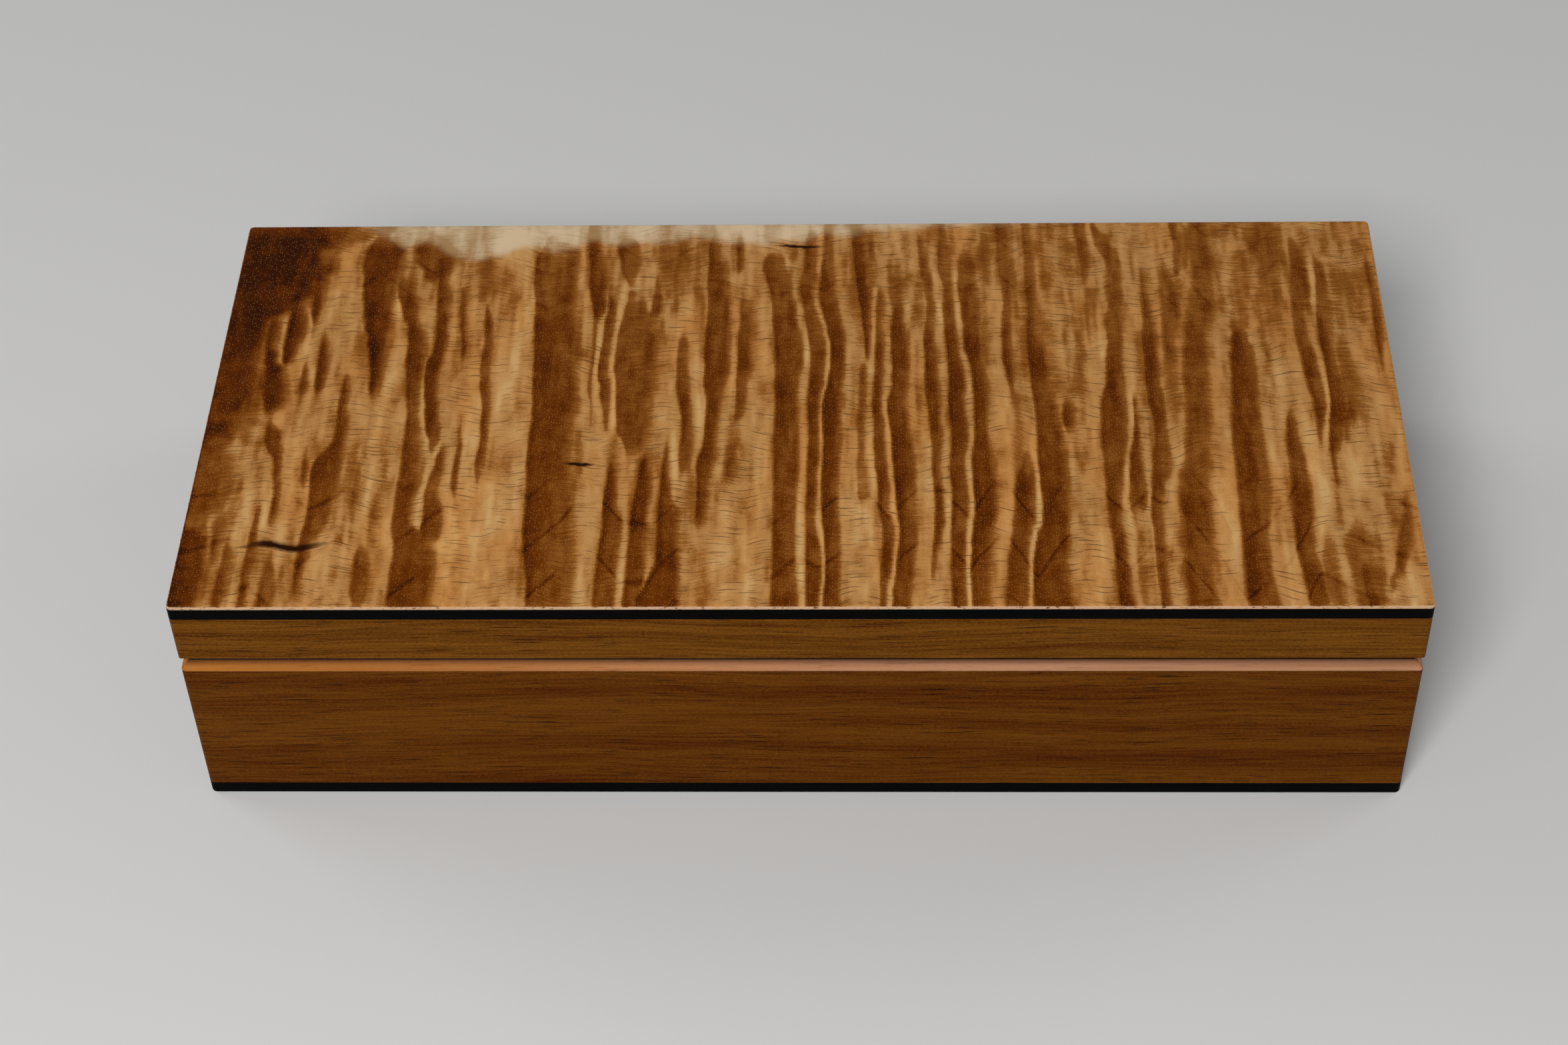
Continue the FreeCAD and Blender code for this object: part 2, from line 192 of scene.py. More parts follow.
     (12, 123.8, 127.3), (2, 123.9, 127.9), (-8, 122.8, 126.8), (-15, 122.2, 124.8), (-27, 121.9, 122.7))),
    (1.0, 0.6, 0.8, ((50, 137.4, 138.6), (36, 137.4, 139.2), (22, 136.8, 138.8), (11, 137, 137.6))),
    (0.85, 1.0, 1.0, ((-32, 137.2, 138.8), (-44, 134.4, 137.4), (-52, 132.6, 135.6), (-62, 129.6, 131.6))),
    (0.8, 0.8, 0.9, ((-48, 125.6, 126.8), (-58, 125, 128), (-67, 125.9, 129))),
    (0.45, 1.2, 1.2, ((-42, 118, 119.4), (-54, 116.5, 119.6), (-67, 118, 121))),
    (0.9, 3.0, 3.5, ((-14, -146, -131), (-22, -146, -131.5), (-40, -146, -133))),
    (0.6, 2.0, 2.0, ((-34, -133, -129), (-44, -133, -129.5), (-54, -132, -130))),
    (1.3, 2.0, 1.5, ((-39, -142, -134.5), (-50, -142, -133.6), (-67, -142, -133.5))),
    (0.95, 0.8, 0.8, ((-5, -125.6, -123.2), (-14, -124.6, -121), (-20, -122.2, -119.8),
     (-30, -120.9, -119.2), (-40, -120.8, -119.4))),
    (0.9, 0.8, 0.8, ((-42, -129.6, -128), (-55, -129.8, -127.4), (-67, -129.8, -127.6))),
    (0.9, 0.6, 0.8, ((-34, -123.8, -122.9), (-50, -124.4, -122), (-67, -124.2, -122.4))),
    (0.8, 0.7, 0.8, ((-48, -119, -118), (-58, -119.5, -116), (-67, -120, -117))),
    (0.75, 0.6, 0.6, ((-16, -115.4, -114.2), (-22, -115.2, -113.4), (-29, -114.2, -113.2))),
    (0.72, 2.0, 2.0, ((67, -124, -102), (61, -122, -105), (57, -119, -109))),
    (0.95, 0.7, 1.2, ((10, -109.3, -107.8), (-2, -109.3, -106.8), (-10, -109.2, -106), (-16, -110.5, -106),
     (-20, -112.4, -105.9), (-30, -112.4, -106.4), (-38, -112.4, -107.2), (-46, -112.8, -110),
     (-60, -112.6, -110.4))),
    (0.8, 0.8, 0.5, ((-47, -99.4, -97), (-54, -99.8, -95.6), (-64, -98.8, -96))),
    (0.5, 0.8, 0.8, ((-22, -102.4, -101), (-34, -102.4, -100.4), (-42, -101.8, -100.6))),
    (0.45, 1.2, 1.2, ((-30, -97.2, -96), (-44, -98, -95.4))),
    (0.42, 2.5, 3.0, ((52, -82, -70), (44, -80, -71), (34, -79.5, -75))),
    (0.4, 2.0, 2.5, ((62, -36, -30), (52, -36.5, -27), (36, -34, -26))),
    (0.35, 2.0, 2.0, ((60, -11, -5), (50, -3.5, 0))),
    (0.35, 1.5, 2.0, ((22, 27, 29), (8, 26.5, 29), (-8, 27.5, 30))),
    (0.5, 1.5, 2.5, ((30, 43, 46), (20, 42.5, 45.5), (10, 43, 46))),
    (0.4, 1.0, 1.5, ((60, 43, 46.5), (50, 42.5, 46.5), (40, 42.5, 45))),
    (0.45, 1.5, 1.5, ((62, 57.5, 62), (50, 57.5, 61), (38, 57, 60))),
    (0.4, 2.0, 2.0, ((60, 62, 67), (46, 63, 68.5), (30, 65, 68), (14, 64.5, 68), (2, 62, 66.5))),
    (0.5, 3.0, 3.0, ((50, 86, 90), (40, 88, 94), (25, 86.5, 91), (5, 86, 90.5), (-15, 86, 90))),
    (0.28, 3.0, 4.0, ((62, 104, 117), (54, 110, 118), (44, 111, 117), (30, 110, 116), (10, 108, 113))),
    (0.3, 2.0, 4.0, ((48, 128, 134), (40, 128, 134), (32, 128.5, 135), (22, 128, 134), (6, 128, 133),
     (-6, 128, 131))),
    (0.7, 1.5, 3.0, ((24, 127, 131), (12, 127, 131.5), (2, 127.5, 131), (-8, 126, 129), (-16, 125, 127))),
    (0.6, 2.0, 3.0, ((-40, 123, 129), (-48, 122, 131), (-56, 123, 132), (-67, 123, 131))),
)

# Right edge of the dark heartwood in the back left corner: (how far back, place along the lid), in mm.
HEART_EDGE = (
    (-28, -144), (-19, -136), (-12, -130.5), (-5, -127.5), (5, -128), (17, -128.5), (27, -126.5),
    (34, -122.5), (40, -119), (46, -117.5), (54, -115.5), (60, -114.5), (67, -118),
)

# Front edge of the pale sapwood along the back of the lid: (place along the lid, how far back), in mm.
SAPWOOD_EDGE = (
    (-118, 66), (-110, 64), (-104, 59.5), (-99, 56.5), (-95, 58.5), (-91, 56), (-87, 53), (-80, 51.8),
    (-75, 53.6), (-70, 56.4), (-66, 56), (-61, 54.4), (-57, 56), (-53, 58.6), (-48, 57), (-42, 57.4),
    (-34, 57.8), (-27, 59.8), (-20, 58), (-12, 57), (-6, 58.2), (0, 58.6), (5, 60.6), (9, 59.6), (14, 61.4),
    (22, 62.4), (32, 63), (45, 63.8), (60, 64.8), (80, 66.5),
)

# A growth line that climbs through one dark streak and falls through the next: (place along, how far back).
GROWTH_LINE = (
    (-140, -48), (-122, -42), (-112, -52), (-104, -44), (-91, -62), (-80, -50), (-62, -65), (-51, -51),
    (-45, -49), (-39.5, -57), (-33, -57), (-27, -47), (-19, -48), (-6.5, -57), (0, -50), (4.7, -54),
    (10, -47), (16, -47), (20.5, -55), (27, -45), (33, -46), (38.8, -54), (45, -44), (47.5, -45),
    (53.5, -56), (61, -42), (66, -42), (74, -54), (79, -47), (83.5, -50), (86, -33), (94.5, -50), (99, -64),
    (106, -56), (111, -49), (116, -39), (125, -44), (140, -52),
)

# Short dark lines along the lid, in millimetres: (middle, half length, half thickness, how far each waves).
SCARS = (
    ((-116.0, -46.2), 13.5, 1.45, 0.8),
    ((-51.0, -20.2), 5.5, 0.75, 0.25),
    ((-1.5, 56.2), 8.0, 0.7, 0.3),
)

# Soft lamps, in metres and watts: (name, place, height that it points at, size, power).
LAMPS = (
    ("Key lamp", (-0.25, -0.98, 1.08), 0.04, 0.5, 18.0),
    ("Left lamp", (-1.30, 0.55, 0.55), 0.03, 0.7, 5.0),
    ("Right lamp", (1.35, 0.60, 0.50), 0.03, 0.7, 4.0),
)

# How far, in millimetres, a streak fades at each end, how far one runs past the edge of the lid, and how
# wide a gap between two streaks still shows as a bright crest.
END_FADE = 5.0
RUN_OUT = 12.0
CREST_REACH = 2.6

# Streaks that start behind or end before these places, in millimetres, run out over the lid's edge.
RUNS_OUT_BACK, RUNS_OUT_FRONT = 61.5, -65.0

# Points along each side of the lattice of random values, which repeats past them.
LATTICE = 64


def colour_setting(name, description, default):
    """Setting for one colour."""
    return FloatVectorProperty(
        name=name, description=description, subtype="COLOR", size=3, min=0, max=1, default=default)


def length_setting(name, description, default):
    """Setting for one length."""
    return FloatProperty(name=name, description=description, unit="LENGTH", default=default)


def angle_setting(name, description, degrees):
    """Setting for one angle."""
    return FloatProperty(
        name=name, description=description, subtype="ANGLE", default=math.radians(degrees))


class VeneerLook(bpy.types.PropertyGroup):
    """Sizes and colours of the figured veneer."""

    bright_wood: colour_setting("Bright wood", "Crests of the curl", (0.590, 0.350, 0.138))
    light_wood: colour_setting("Light wood", "Light bands", (0.500, 0.252, 0.082))
    warm_wood: colour_setting(
        "Warm wood", "Light bands where the wood is more orange", (0.500, 0.222, 0.060))
    mid_wood: colour_setting("Mid wood", "Slopes of the curl", (0.262, 0.092, 0.013))
    dark_wood: colour_setting("Dark wood", "Hollows of the curl", (0.128, 0.0275, 0.0004))
    deep_wood: colour_setting("Deep wood", "Darkest hollows", (0.076, 0.0140, 0.0002))
    heart_wood: colour_setting("Heartwood", "Dark patch in the back left corner", (0.034, 0.0058, 0.0002))
    sap_wood: colour_setting("Sapwood", "Pale strip along the back", (0.64, 0.475, 0.292))
    # Painted highlight along the rounded upper edge of the veneer.
    edge_highlight: colour_setting("Veneer edge", "Rounded edge of the veneer", (0.52, 0.33, 0.20))
    cells_wide: IntProperty(name="Cells wide", description="Steps of the figure along", default=640, min=50)
    cells_deep: IntProperty(name="Cells deep", description="Steps of the figure across", default=130, min=10)
    corner_round: length_setting("Corner rounding", "Radius of the upright corners", 1.2 * MM)
    edge_round: length_setting("Edge rounding", "Radius along the upper edge", 0.6 * MM)


class BoardLook(bpy.types.PropertyGroup):
    """Colours of the straight-grained boards."""

    rail_light: colour_setting("Rail, light grain", "Lid rails", (0.181, 0.0670, 0.0060))
    rail_dark: colour_setting("Rail, dark grain", "Lid rails", (0.066, 0.0155, 0.0003))
    wall_light: colour_setting("Wall, light grain", "Base walls", (0.141, 0.0465, 0.0030))
    wall_dark: colour_setting("Wall, dark grain", "Base walls", (0.060, 0.0098, 0.0001))
    # Painted highlight and painted reflection: paler colours of the bevel, orange at the left and pinker and
    # greyer at the right.
    left_bevel_highlight: colour_setting("Bevel, left", "Bevel round the rim of the base", (0.392, 0.140, 0.021))
    right_bevel_highlight: colour_setting("Bevel, right", "Bevel round the rim of the base", (0.420, 0.206, 0.112))
    backing_light: colour_setting("Backing, light grain", "Veneer inside the lid", (0.30, 0.145, 0.045))
    backing_dark: colour_setting("Backing, dark grain", "Veneer inside the lid", (0.19, 0.075, 0.016))


class FittingLook(bpy.types.PropertyGroup):
    """Colours of the black boards, the brass and the floor pad."""

    black: colour_setting("Black", "Core and bottom plate", (0.0008, 0.0008, 0.0008))
    brass: colour_setting("Brass", "Hinge leaves and pins", (0.60, 0.42, 0.16))
    screw_brass: colour_setting(
        "Screw brass", "Heads of the screws in the hinge leaves", (0.36, 0.24, 0.09))
    suede: colour_setting("Suede", "Floor pad", (0.022, 0.019, 0.018))
    pad_corner: length_setting("Pad corner", "Radius of the pad's upright corners", 1.2 * MM)
    pad_edge: length_setting("Pad edge", "Radius along the pad's upper edge", 0.7 * MM)
    pad_crown: length_setting("Pad crown", "How far the pad's middle rises", 0.5 * MM)


class StageLook(bpy.types.PropertyGroup):
    """Floor, backdrop and camera."""

    floor_colour: colour_setting("Floor", "Plain pale floor", (0.62, 0.615, 0.605))
    backdrop_colour: colour_setting(
        "Backdrop", "Far floor and what lies past it, to the camera and to gloss", (0.47, 0.47, 0.465))
    floor_size: length_setting("Floor size", "Width of the floor", 8.0)
    lens: FloatProperty(name="Lens", description="Focal length in mm on a 36 mm wide frame", default=68.53)
    camera_place: FloatVectorProperty(
        name="Camera place", description="Where the camera stands", subtype="TRANSLATION", size=3,
        default=(0.01888, -0.50775, 0.55033))
    camera_pitch: angle_setting("Camera pitch", "How far the camera looks down", 45.96)
    camera_yaw: angle_setting("Camera yaw", "Turn to the right", -2.696)
    camera_roll: angle_setting("Camera roll", "Tilt of the frame", -2.061)


def wire(socket, value):
    """Gives an input a value, or links an output to it."""
    if isinstance(value, bpy.types.NodeSocket):
        socket.id_data.links.new(value, socket)
    elif value is not None:
        if hasattr(socket.default_value, "__len__") and len(socket.default_value) == 4 and len(value) == 3:
            value = (*value, 1.0)
        socket.default_value = value


def tree_of(*values):
    """Node tree of the first socket among some values."""
    return next(value.id_data for value in values if isinstance(value, bpy.types.NodeSocket))


def add(tree, kind, inputs=None, **settings):
    """Adds a node with its settings and its inputs, by name or number."""
    made = tree.nodes.new(kind)
    for name, value in settings.items():
        setattr(made, name, value)
    for key, value in (inputs or {}).items():
        wire(made.inputs[key], value)
    return made


def calc(operation, *terms):
    """One sum of a Math node."""
    made = add(tree_of(*terms), "ShaderNodeMath", dict(enumerate(terms)), operation=operation)
    return made.outputs[0]


def times(first, second, plus=None):
    """Product of two values, and that product plus a third where one is given."""
    if plus is None:
        return calc("MULTIPLY", first, second)
    return calc("MULTIPLY_ADD", first, second, plus)


def step(value, low, high, start=0.0, end=1.0):
    """Smooth rise from start to end as value goes from low to high."""
    inputs = {"Value": value, "From Min": low, "From Max": high, "To Min": start, "To Max": end}
    return add(value.id_data, "ShaderNodeMapRange", inputs, interpolation_type="SMOOTHSTEP").outputs[0]


def mix(share, first, second, kind="MIX"):
    """Mix of two colours."""
    tree = tree_of(share, first, second)
    inputs = {0: share, 6: first, 7: second}
    return add(tree, "ShaderNodeMix", inputs, data_type="RGBA", blend_type=kind).outputs[2]


def move(operation, place, vector):
    """Place plus a vector, or times one."""
    inputs = {0: place, 1: vector}
    return add(place.id_data, "ShaderNodeVectorMath", inputs, operation=operation).outputs[0]


def split(place):
    """X, Y and Z of a place."""
    return add(place.id_data, "ShaderNodeSeparateXYZ", {0: place}).outputs


def join(x, y):
    """Place in the X Y plane."""
    return add(tree_of(x, y), "ShaderNodeCombineXYZ", {0: x, 1: y}).outputs[0]


def noise(place, scale, detail=2.0, roughness=0.5):
    """Noise over a stretched place, about 0.5 on the whole."""
    at = move("MULTIPLY", place, scale)
    inputs = {"Vector": at, "Scale": 1.0, "Detail": detail, "Roughness": roughness}
    return add(place.id_data, "ShaderNodeTexNoise", inputs).outputs[0]


def ripples(place, scale, detail, roughness=0.5):
    """Noise about 0."""
    return calc("SUBTRACT", noise(place, scale, detail, roughness), 0.5)


def dashes(place, cell, reach, kept, offset=(0.0, 0.0)):
    """Short tapering marks in the X Y plane, one to a cell at most: reach is their size in cells."""
    place = move("ADD", place, (*offset, 0.0))
    inputs = {"Vector": move("MULTIPLY", place, (1 / cell[0], 1 / cell[1], 0.0)), "Scale": 1.0}
    cells = add(place.id_data, "ShaderNodeTexVoronoi", inputs, voronoi_dimensions="2D")
    chance = add(place.id_data, "ShaderNodeSeparateColor", {0: cells.outputs["Color"]}).outputs[0]
    mark = step(cells.outputs["Distance"], reach * 0.35, reach, 1.0, 0.0)
    return times(mark, step(chance, kept, kept + 0.25))


def new_group(name, inputs, outputs):
    """Empty node group that takes Place and other values, with its place, its inputs and its outputs."""
    tree = bpy.data.node_groups.new(name, "ShaderNodeTree")
    tree.interface.new_socket("Place", in_out="INPUT", socket_type="NodeSocketVector")
    for label, value in inputs.items():
        made = tree.interface.new_socket(label, in_out="INPUT", socket_type="NodeSocketFloat")
        made.default_value = value
    for label in outputs:
        tree.interface.new_socket(label, in_out="OUTPUT", socket_type="NodeSocketFloat")
    given = tree.nodes.new("NodeGroupInput").outputs
    return tree, given["Place"], given, tree.nodes.new("NodeGroupOutput").inputs


def straight_grain_group():
    """Straight grain along X, in millimetres: a tone from 0, light, to 1, dark, and its pores."""
    tree, place, given, out = new_group("Straight grain", {"Streak height": 5.0}, ("Tone", "Pores"))
    apart = split(place)
    drift = ripples(place, (0.012, 0.03, 0.03), 1.5)
    across = times(drift, 7.0, times(apart[1], 0.6, apart[2]))
    place = join(apart[0], across)
    broad_at = join(times(apart[0], 0.005), calc("DIVIDE", across, given["Streak height"]))
    broad = step(noise(broad_at, (1.0, 1.0, 1.0), 2.5), 0.3, 0.72)
    fine = step(noise(place, (0.045, 1.5, 0.0), 2.0, 0.6), 0.3, 0.7)
    speck = step(noise(place, (1.3, 3.4, 0.0), 1.0), 0.3, 0.7)
    tone = times(broad, 0.54, times(fine, 0.48, -0.2))
    tone = times(speck, 0.38, tone)
    long_pores = dashes(place, (52.0, 1.9), 0.105, 0.15)
    mid_pores = dashes(place, (24.0, 1.3), 0.135, 0.2, (7.3, 3.1))
    short_pores = dashes(place, (9.0, 0.8), 0.17, 0.3, (2.9, 8.4))
    crowd = step(noise(place, (0.02, 0.16, 0.0), 2.0), 0.32, 0.58, 0.3, 1.0)
    pores = calc("MAXIMUM", mid_pores, times(short_pores, 0.6))
    pores = calc("MAXIMUM", long_pores, pores)
    dots = dashes(place, (2.6, 0.42), 0.2, 0.3, (1.7, 5.2))
    pores = calc("MAXIMUM", pores, times(dots, 0.5))
    wire(out["Tone"], tone)
    wire(out["Pores"], times(pores, crowd))
    return tree


def satin_group():
    """Slight unevenness of a hand-rubbed finish: a roughness about Base."""
    tree, place, given, out = new_group("Rubbed finish", {"Base": 0.35}, ("Roughness",))
    cloudy = noise(place, (0.03, 0.03, 0.03), 3.0)
    fine = noise(place, (0.7, 2.0, 2.0), 1.0)
    uneven = times(cloudy, 0.12, times(fine, 0.06, -0.09))
    wire(out["Roughness"], calc("ADD", given["Base"], uneven))
    return tree


def box_edges_group():
    """Masks in millimetres: upright arrises for a painted highlight, the bevel of the base, its open side
    clear of the painted shade in the groove, and the groove's end for a painted shadow line.
    """
    tree, place, _, out = new_group("Box edges", {}, ("Arris highlight", "Bevel", "Open side", "Groove shadow line"))
    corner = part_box("base_right_wall")[1] / MM
    half_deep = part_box("base_back_wall")[1].y / MM
    apart = split(place)
    beside = calc("SUBTRACT", calc("ABSOLUTE", apart[0]), corner.x)
    behind = calc("SUBTRACT", calc("ABSOLUTE", apart[1]), half_deep)
    near = times(step(beside, -0.55, -0.15), step(behind, -0.55, -0.15))
    # Noise that breaks up the painted highlight along the upright arrises.
    rubbed = step(noise(place, (0.3, 0.3, 0.35), 3.0, 0.6), 0.3, 0.6)
    outermost = calc("MAXIMUM", beside, behind)
    above = step(apart[2], corner.z - RIM_BEVEL - 0.12, corner.z - RIM_BEVEL + 0.12)
    bevel = times(above, step(outermost, -RIM_BEVEL - 0.12, -RIM_BEVEL + 0.02))
    # Mask for the painted shadow line at the apex of the groove.
    lowest = step(apart[2], corner.z - 0.42, corner.z - 0.25)
    line = times(step(outermost, -RIM_BEVEL - 0.16, -RIM_BEVEL - 0.02), lowest)
    wire(out["Arris highlight"], times(near, rubbed))
    wire(out["Bevel"], bevel)
    # Open side rises from 0 at the apex of the groove to 1 away from it, where the painted shade in the
    # groove has faded.
    wire(out["Open side"], step(outermost, -RIM_BEVEL - 0.1, -RIM_BEVEL + 1.6))
    wire(out["Groove shadow line"], line)
    return tree


def growth_lines(place, growth):
    """Faint growth lines, which run parallel to the one in the mesh: steeper and darker near the front."""
    depth = split(place)[1]
    wander = times(noise(place, (0.09, 0.09, 0.0), 2.0), 6.0, -3.0)
    here = calc("ADD", depth, wander)
    front = calc("PINGPONG", calc("SUBTRACT", here, growth), 8.5)
    back = calc("PINGPONG", times(growth, -0.6, calc("ADD", here, 6.0)), 6.5)
    near = step(depth, -32.0, -22.0, 1.0, 0.0)
    front = times(step(front, 0.0, 1.5, 1.0, 0.0), near)
    back = times(step(back, 0.0, 1.3, 0.5, 0.0), step(depth, 26.0, 36.0))
    line = calc("MAXIMUM", front, back)
    broken = step(noise(place, (0.07, 0.07, 0.0), 1.0), 0.34, 0.52, 0.2, 1.0)
    return times(line, broken)


def scar(place, middle, half_long, half_thick, swing):
    """Short dark wavy line along the lid, in millimetres."""
    along, across, _ = split(move("ADD", place, (-middle[0], -middle[1], 0.0)))
    uneven = times(noise(place, (0.8, 0.8, 0.0), 2.0), 0.8, -0.4)
    wave = times(calc("SINE", times(along, 0.42, 0.5)), swing)
    away = calc("ABSOLUTE", calc("ADD", calc("ADD", across, wave), uneven))
    end = step(calc("ABSOLUTE", along), half_long * 0.3, half_long, 1.0, 0.0)
    reach = times(end, half_thick, 0.05)
    line = step(calc("DIVIDE", away, reach), 0.25, 1.2, 1.0, 0.0)
    return times(line, end)


def curly_figure_group():
    """Fine structure of the curl, in millimetres: Curl is the streaks' depth, Tone what shows of it."""
    tree, place, given, out = new_group(
        "Curly figure", {"Curl": 0.0, "Growth": 0.0}, ("Tone", "Warmth", "Pores", "Flecks"))
    curl = given["Curl"]
    bend = times(ripples(place, (0.05, 0.03, 0.0), 1.5), 12.0)
    grain_at = move("ADD", place, join(0.0, bend))
    lit = step(curl, 0.2, 0.85, 1.0, 0.0)
    slope = times(times(curl, step(curl, 0.6, 1.0, 1.0, 0.0)), 2.0)
    feather = ripples(grain_at, (0.16, 2.6, 0.0), 2.0, 0.6)
    mottle = ripples(place, (0.17, 0.13, 0.0), 3.5, 0.62)
    speck = ripples(grain_at, (1.9, 3.6, 0.0), 1.5, 0.65)
    tone = times(mottle, times(lit, -0.2, 0.9), curl)
    tone = times(feather, times(slope, 0.6, 0.34), tone)
    tone = times(speck, 0.55, tone)
    lines = growth_lines(place, given["Growth"])
    tone = times(lines, times(lit, -0.2, 0.32), tone)
    long_pores = dashes(grain_at, (24.0, 1.1), 0.155, 0.05)
    short_pores = dashes(grain_at, (10.0, 0.8), 0.165, 0.15, (4.1, 2.3))
    pores = calc("MAXIMUM", long_pores, times(short_pores, 0.8))
    shaded = calc("SUBTRACT", 1.0, lit)
    flecks = times(dashes(place, (0.62, 0.62), 0.24, 0.45), shaded)
    wire(out["Tone"], tone)
    wire(out["Warmth"], step(noise(place, (0.06, 0.025, 0.0), 2.0), 0.42, 0.66))
    wire(out["Pores"], times(pores, times(lit, 0.8, 0.2)))
    wire(out["Flecks"], flecks)
    return tree


def use(name, place, **values):
    """Places a shared node group, built the first time it is asked for, and gives its outputs."""
    builders = {"Straight grain": straight_grain_group, "Rubbed finish": satin_group,
                "Curly figure": curly_figure_group, "Box edges": box_edges_group}
    built = bpy.data.node_groups.get(name) or builders[name]()
    inputs = {"Place": place, **{key.replace("_", " "): value for key, value in values.items()}}
    return add(place.id_data, "ShaderNodeGroup", inputs, node_tree=built).outputs


def rub(surface, place, base):
    """Gives a surface the uneven roughness of a hand-rubbed finish."""
    wire(surface.inputs["Roughness"], use("Rubbed finish", place, Base=base)["Roughness"])


def new_material(name):
    """Material with nothing but a Principled BSDF, its node tree and that BSDF."""
    made = bpy.data.materials.new(name)
    made.use_nodes = True
    tree = made.node_tree
    tree.nodes.clear()
    surface = tree.nodes.new("ShaderNodeBsdfPrincipled")
    wire(tree.nodes.new("ShaderNodeOutputMaterial").inputs["Surface"], surface.outputs[0])
    return made, tree, surface


def millimetres(tree, turn=0.0, offset=(0.0, 0.0, 0.0)):
    """Object coordinates in millimetres, turned about Z and moved."""
    place = tree.nodes.new("ShaderNodeTexCoord").outputs["Object"]
    scale = (1 / MM, 1 / MM, 1 / MM)
    inputs = {"Vector": place, "Location": offset, "Rotation": (0.0, 0.0, turn), "Scale": scale}
    return add(tree, "ShaderNodeMapping", inputs).outputs[0]


def put(node, values):
    """Gives a node's own sockets plain values."""
    for name, value in values.items():
        node.inputs[name].default_value = value


def raise_bump(surface, height, depth):
    """Bump of the given depth, in metres, from a height of 0 to 1."""
    made = add(height.id_data, "ShaderNodeBump", {"Strength": 1.0, "Distance": depth, "Height": height})
    wire(surface.inputs["Normal"], made.outputs[0])


def paler(colour, times_over):
    """Colour made paler, or darker under 1, by one factor or by one for each channel."""
    factors = times_over if isinstance(times_over, tuple) else (times_over,) * 3
    return tuple(c * k for c, k in zip(colour, factors))


def straight_wood(name, light, dark, turn, offset, streak_height, polish=BOARD_POLISH, pore_depth=0.8,
                  bevel_highlights=None):
    """Straight-grained wood under a rubbed finish. The bevel gets a painted highlight, going from its left to
    its right colour, with painted shade and a painted shadow line deep in the groove.
    """
    made, tree, surface = new_material(name)
    box_place = millimetres(tree)
    place = millimetres(tree, turn, offset)
    grain = use("Straight grain", place, Streak_height=streak_height)
    edges = use("Box edges", box_place)
    colour = mix(grain["Tone"], light, dark)
    pores = grain["Pores"]
    pore = paler(dark, 0.12)
    if bevel_highlights:
        # Painted highlight and painted reflection on the bevel, paler than the wall and shifting from the
        # left colour to the right one.
        shade = step(noise(place, (0.012, 0.5, 0.9), 3.0, 0.6), 0.3, 0.7)
        bevel_highlight_tint = mix(step(split(box_place)[0], -120.0, 60.0), *bevel_highlights)
        pale = mix(shade, bevel_highlight_tint, mix(1.0, bevel_highlight_tint, (0.80, 0.74, 0.66), "MULTIPLY"))
        # Painted shade deep in the groove: the bevel darkens towards its apex.
        groove_shade = mix(1.0, pale, (0.12, 0.08, 0.05), "MULTIPLY")
        pale = mix(edges["Open side"], groove_shade, pale)
        colour = mix(edges["Bevel"], colour, pale)
        pores = times(pores, times(edges["Bevel"], -0.6, 1.0))
    colour = mix(times(pores, pore_depth), colour, pore)
    # Painted highlight: a paler line along the upright arrises.
    colour = mix(times(edges["Arris highlight"], 0.3), colour, paler(light, 2.6))
    if bevel_highlights:
        # Painted shadow: a dark line at the apex of the groove, where the lid meets the base.
        colour = mix(edges["Groove shadow line"], colour, pore)
    wire(surface.inputs["Base Color"], colour)
    rub(surface, place, polish)
    put(surface, {"Specular IOR Level": BOARD_SHINE})
    raise_bump(surface, calc("SUBTRACT", 1.0, grain["Pores"]), 0.02 * MM)
    return made


def blend_of(first, second, share):
    """Colour part of the way from one to another."""
    return tuple(a + (b - a) * share for a, b in zip(first, second))


